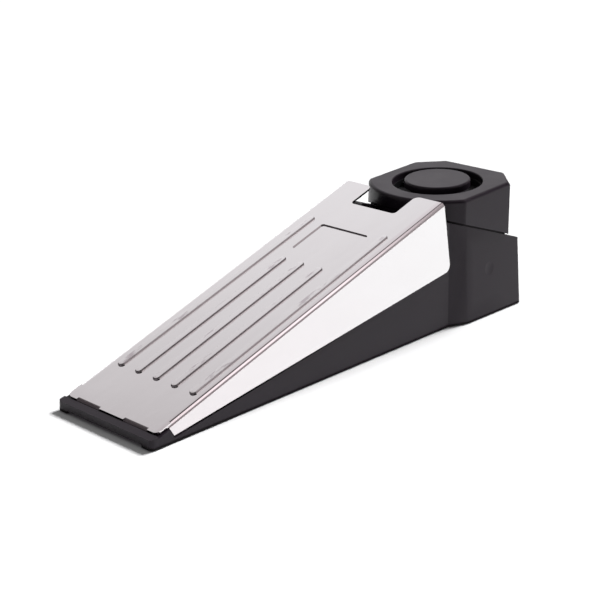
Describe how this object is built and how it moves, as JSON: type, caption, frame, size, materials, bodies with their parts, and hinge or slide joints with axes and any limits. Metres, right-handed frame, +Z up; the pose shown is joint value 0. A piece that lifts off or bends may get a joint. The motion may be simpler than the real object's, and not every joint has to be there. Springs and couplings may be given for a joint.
{
  "type": "door stop alarm",
  "caption": "Black wedge door stop alarm with a hinged, ribbed steel pressure plate on the slope and a siren tower with a round capped opening on the heel block.",
  "frame": {"origin": "middle of the footprint, on the floor", "axes": "+X runs from the toe to the heel, +Y across the wedge, +Z up"},
  "size_m": [0.15, 0.0382, 0.0404],
  "materials": {
    "case_plastic": "fine satin moulding",
    "plate_steel": "bright rolled sheet",
    "sole_rubber": "matt",
    "screw_steel": "zinc plated",
    "gasket_foam": "open cell foam",
    "siren_plastic": "satin",
    "piezo_brass": "rolled",
    "piezo_ceramic": "silvered ceramic",
    "acetal": "natural acetal",
    "spring_steel": "drawn wire",
    "switch_plastic": "satin",
    "lever_steel": "stamped",
    "button_red": "gloss",
    "board_green": "solder mask",
    "chip_epoxy": "moulded epoxy",
    "coil_ferrite": "wound copper on ferrite",
    "capacitor_sleeve": "shrink sleeve",
    "resistor_body": "lacquered",
    "switch_metal": "tinned can",
    "battery_can": "printed can, left plain",
    "terminal_plate": "nickel",
    "clip_plastic": "vinyl",
    "lead_vinyl": "vinyl sleeve"
  },
  "bodies": {
    "case": {"body_shell": "case_plastic", "siren_housing": "case_plastic", "siren_cap": "case_plastic", "anti_slip_pads": "sole_rubber", "base_cover": "case_plastic", "case_screws": "screw_steel", "horn_spider": "siren_plastic", "siren_gasket": "gasket_foam", "siren_case": "siren_plastic", "piezo_plate": "piezo_brass", "piezo_ceramic": "piezo_ceramic", "return_spring": "spring_steel", "microswitch_body": "switch_plastic", "circuit_board": "board_green", "control_chip": "chip_epoxy", "driver_coil": "coil_ferrite", "capacitors": "capacitor_sleeve", "resistors": "resistor_body", "transistor": "chip_epoxy", "power_switch_body": "switch_metal", "battery_case": "battery_can", "battery_terminals": "terminal_plate", "battery_clip": "clip_plastic", "clip_contacts": "terminal_plate", "battery_foam": "gasket_foam", "battery_leads": "lead_vinyl", "siren_leads": "lead_vinyl", "switch_leads": "lead_vinyl"},
    "plate": {"pressure_plate": "plate_steel"},
    "plunger": {"plunger": "acetal"},
    "lever": {"switch_lever": "lever_steel"},
    "button": {"switch_button": "button_red"},
    "knob": {"power_knob": "case_plastic"},
    "door": {"battery_door": "case_plastic"}
  },
  "joints": [
    {"name": "plate_hinge", "type": "hinge", "parent": "case", "child": "plate", "pos_m": [-0.0721, 0, 0.00165], "axis": [0, 1, 0], "range_deg": [0, 0.8], "stiffness_Nm_per_rad": 1.6, "springref_deg": -2.86, "deforming": ["return_spring"]},
    {"name": "plunger_slide", "type": "slide", "parent": "case", "child": "plunger", "axis": [0.3165, 0, -0.9486], "range_m": [0, 0.00145]},
    {"name": "lever_hinge", "type": "hinge", "parent": "case", "child": "lever", "pos_m": [0.0326, 0, 0.0272], "axis": [0, 1, 0], "range_deg": [-9, 0]},
    {"name": "button_slide", "type": "slide", "parent": "case", "child": "button", "axis": [0, 0, -1], "range_m": [0, 0.00065]},
    {"name": "knob_slide", "type": "slide", "parent": "case", "child": "knob", "axis": [0, 1, 0], "range_m": [0, 0.004]},
    {"name": "door_hinge", "type": "hinge", "parent": "case", "child": "door", "pos_m": [-0.0074, 0, 0.001], "axis": [0, 1, 0], "range_deg": [0, 35]}
  ],
  "couplings": [
    {"joint": "plunger_slide", "follows": "plate_hinge", "m_per_rad": 0.098896},
    {"joint": "lever_hinge", "follows": "plate_hinge", "ratio": -10.5},
    {"joint": "button_slide", "follows": "plate_hinge", "m_per_rad": 0.043}
  ]
}
